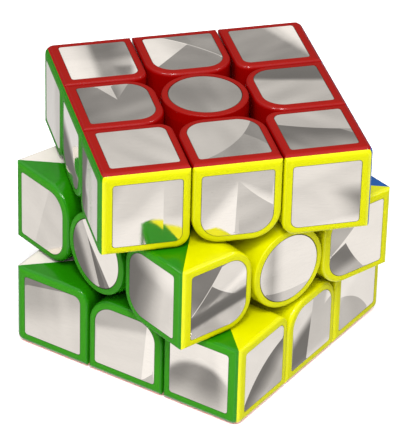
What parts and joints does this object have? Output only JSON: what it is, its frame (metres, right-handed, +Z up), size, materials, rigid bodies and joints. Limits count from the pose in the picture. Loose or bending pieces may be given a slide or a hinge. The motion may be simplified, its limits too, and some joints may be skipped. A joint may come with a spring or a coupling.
{
  "type": "twisty puzzle cube",
  "caption": "Twisty puzzle cube caught mid-turn, its stickerless coloured pieces inlaid with flush mirror-metal tiles over a sprung six-armed core.",
  "frame": {"origin": "middle of the face that the cube rests on, under the centre of the cube", "axes": "+Z up along the axis of the top and bottom layers, from the orange face to the red face; -Y towards the yellow face and -X towards the green face of the middle layer"},
  "size_m": [0.0732, 0.0732, 0.056],
  "materials": {
    "red_plastic": "moulded stickerless plastic, satin rims and glossier side walls",
    "orange_plastic": "moulded stickerless plastic, satin rims and glossier side walls",
    "yellow_plastic": "moulded stickerless plastic, satin rims and glossier side walls",
    "white_plastic": "moulded stickerless plastic, satin rims and glossier side walls",
    "green_plastic": "moulded stickerless plastic, satin rims and glossier side walls",
    "blue_plastic": "moulded stickerless plastic, satin rims and glossier side walls",
    "mirror_tile": "polished mirror metal with fine diagonal brush marks",
    "core_plastic": "black nylon",
    "steel": "zinc-plated steel",
    "spring_steel": "bright spring wire"
  },
  "bodies": {
    "core_and_middle_edges": {"back_spring": "spring_steel", "bottom_spring": "spring_steel", "centre_screws": "steel", "core": "core_plastic", "front_spring": "spring_steel", "left_spring": "spring_steel", "middle_edge_back_left_back_shell": "white_plastic", "middle_edge_back_left_left_shell": "green_plastic", "middle_edge_back_right_back_shell": "white_plastic", "middle_edge_back_right_right_shell": "blue_plastic", "middle_edge_front_left_front_shell": "yellow_plastic", "middle_edge_front_left_left_shell": "green_plastic", "middle_edge_front_right_front_shell": "yellow_plastic", "middle_edge_front_right_right_shell": "blue_plastic", "mirror_tiles_middle_edges": "mirror_tile", "right_spring": "spring_steel", "spring_washers": "steel", "top_spring": "spring_steel"},
    "top_layer": {"mirror_tiles_top_layer": "mirror_tile", "top_centre_cap": "red_plastic", "top_centre_stem": "red_plastic", "top_corner_back_left": "red_plastic", "top_corner_back_right": "red_plastic", "top_corner_front_left": "red_plastic", "top_corner_front_right": "red_plastic", "top_edge_back": "red_plastic", "top_edge_front": "red_plastic", "top_edge_left": "red_plastic", "top_edge_right": "red_plastic", "top_layer_back_shells": "white_plastic", "top_layer_front_shells": "yellow_plastic", "top_layer_left_shells": "green_plastic", "top_layer_right_shells": "blue_plastic"},
    "bottom_layer": {"bottom_centre_cap": "orange_plastic", "bottom_centre_stem": "orange_plastic", "bottom_corner_back_left": "orange_plastic", "bottom_corner_back_right": "orange_plastic", "bottom_corner_front_left": "orange_plastic", "bottom_corner_front_right": "orange_plastic", "bottom_edge_back": "orange_plastic", "bottom_edge_front": "orange_plastic", "bottom_edge_left": "orange_plastic", "bottom_edge_right": "orange_plastic", "bottom_layer_back_shells": "white_plastic", "bottom_layer_front_shells": "yellow_plastic", "bottom_layer_left_shells": "green_plastic", "bottom_layer_right_shells": "blue_plastic", "mirror_tiles_bottom_layer": "mirror_tile"},
    "front_centre": {"front_centre_cap": "yellow_plastic", "front_centre_stem": "yellow_plastic", "mirror_tile_front_centre": "mirror_tile"},
    "back_centre": {"back_centre_cap": "white_plastic", "back_centre_stem": "white_plastic", "mirror_tile_back_centre": "mirror_tile"},
    "left_centre": {"left_centre_cap": "green_plastic", "left_centre_stem": "green_plastic", "mirror_tile_left_centre": "mirror_tile"},
    "right_centre": {"mirror_tile_right_centre": "mirror_tile", "right_centre_cap": "blue_plastic", "right_centre_stem": "blue_plastic"}
  },
  "joints": [
    {"name": "top_layer_turn", "type": "hinge", "parent": "core_and_middle_edges", "child": "top_layer", "pos_m": [0, 0, 0.028], "axis": [0, 0, 1], "continuous": true},
    {"name": "bottom_layer_turn", "type": "hinge", "parent": "core_and_middle_edges", "child": "bottom_layer", "pos_m": [0, 0, 0.028], "axis": [0, 0, -1], "continuous": true},
    {"name": "front_centre_turn", "type": "hinge", "parent": "core_and_middle_edges", "child": "front_centre", "pos_m": [0, 0, 0.028], "axis": [0, -1, 0], "continuous": true},
    {"name": "back_centre_turn", "type": "hinge", "parent": "core_and_middle_edges", "child": "back_centre", "pos_m": [0, 0, 0.028], "axis": [0, 1, 0], "continuous": true},
    {"name": "left_centre_turn", "type": "hinge", "parent": "core_and_middle_edges", "child": "left_centre", "pos_m": [0, 0, 0.028], "axis": [-1, 0, 0], "continuous": true},
    {"name": "right_centre_turn", "type": "hinge", "parent": "core_and_middle_edges", "child": "right_centre", "pos_m": [0, 0, 0.028], "axis": [1, 0, 0], "continuous": true}
  ]
}
